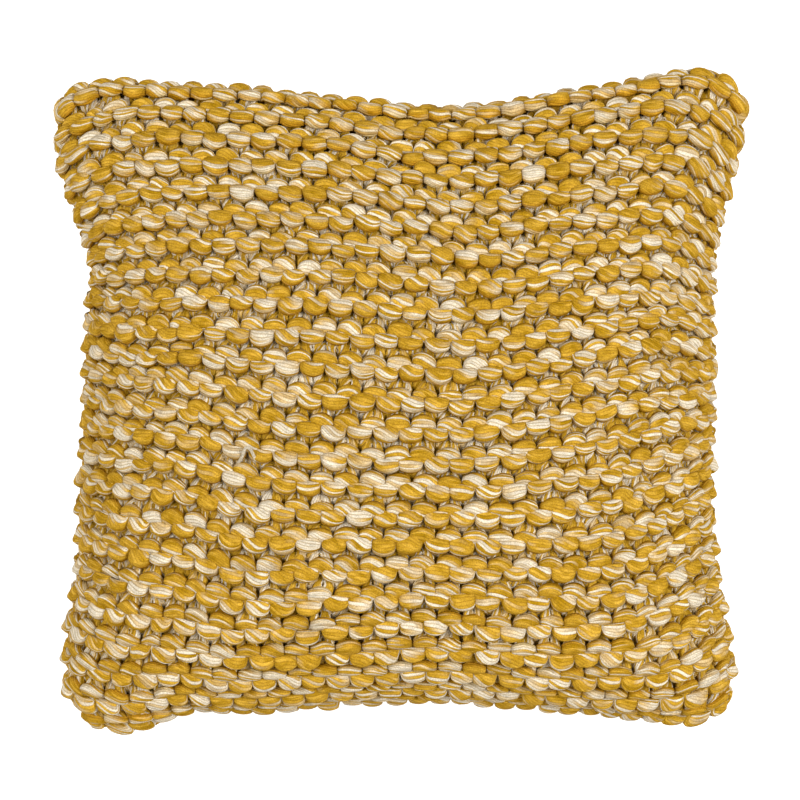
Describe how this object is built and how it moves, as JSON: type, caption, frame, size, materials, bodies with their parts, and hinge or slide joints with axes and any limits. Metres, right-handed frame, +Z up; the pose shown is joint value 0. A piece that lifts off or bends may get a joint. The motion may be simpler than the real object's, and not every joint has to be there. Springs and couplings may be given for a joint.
{
  "type": "cushion",
  "caption": "Square filled cushion with a chunky garter-stitch knitted cover in marled mustard and cream cotton yarn, lying on its back.",
  "frame": {"origin": "on the surface the cushion rests on, under the centre of its bounding box", "axes": "+Z up out of the front face as the cushion lies on its back, +X to the right along the knitted rows, +Y towards the top edge of the front face as the picture shows it"},
  "size_m": [0.438, 0.42, 0.1452],
  "materials": {
    "yarn": "matt marled cotton yarn, mustard and cream strands, knitted in thick ridges"
  },
  "bodies": {
    "root": {"cushion": "yarn"}
  },
  "joints": []
}
